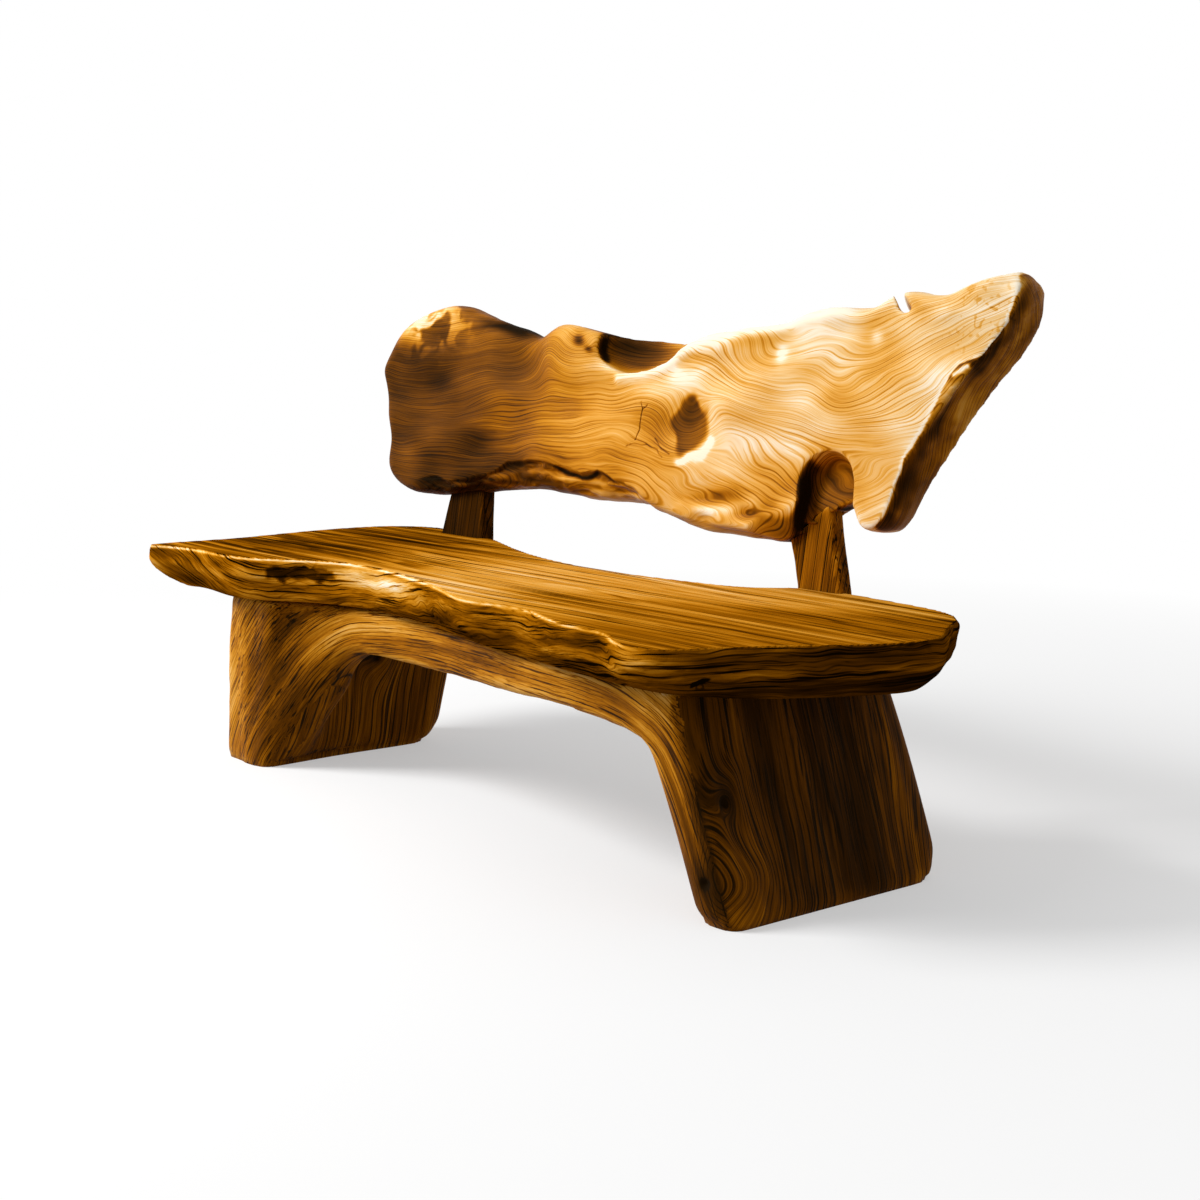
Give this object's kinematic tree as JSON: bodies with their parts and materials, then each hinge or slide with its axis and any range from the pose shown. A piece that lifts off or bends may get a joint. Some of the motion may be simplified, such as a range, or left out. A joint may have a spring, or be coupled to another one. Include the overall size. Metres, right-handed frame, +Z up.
{
  "type": "live edge bench",
  "caption": "Rustic bench with a waisted live-edge slab seat, a carved leaning live-edge back on short posts and splayed slab legs joined by an arched front rail.",
  "frame": {"origin": "on the floor under the middle of the bench's bounding box", "axes": "+X along the bench to the right as one faces its front, +Y to the back, +Z up"},
  "size_m": [1.9117, 0.7749, 0.9949],
  "materials": {
    "seat_teak": "oiled teak with live edges, rubbed to a low sheen",
    "base_teak": "oiled teak with live edges, rubbed to a low sheen",
    "post_teak": "oiled teak with live edges, rubbed to a low sheen",
    "back_teak": "oiled teak with live edges, rubbed to a low sheen",
    "peg_wood": "turned hardwood, glued in and cut flush",
    "zinc_steel": "zinc-plated steel"
  },
  "bodies": {
    "root": {"seat_slab": "seat_teak", "left_leg": "base_teak", "right_leg": "base_teak", "front_rail": "base_teak", "left_post": "post_teak", "right_post": "post_teak", "backrest_slab": "back_teak", "rail_pegs": "peg_wood", "seat_dowels": "peg_wood", "backrest_pegs": "peg_wood", "post_plugs": "peg_wood", "post_screws": "zinc_steel", "post_washers": "zinc_steel"}
  },
  "joints": []
}
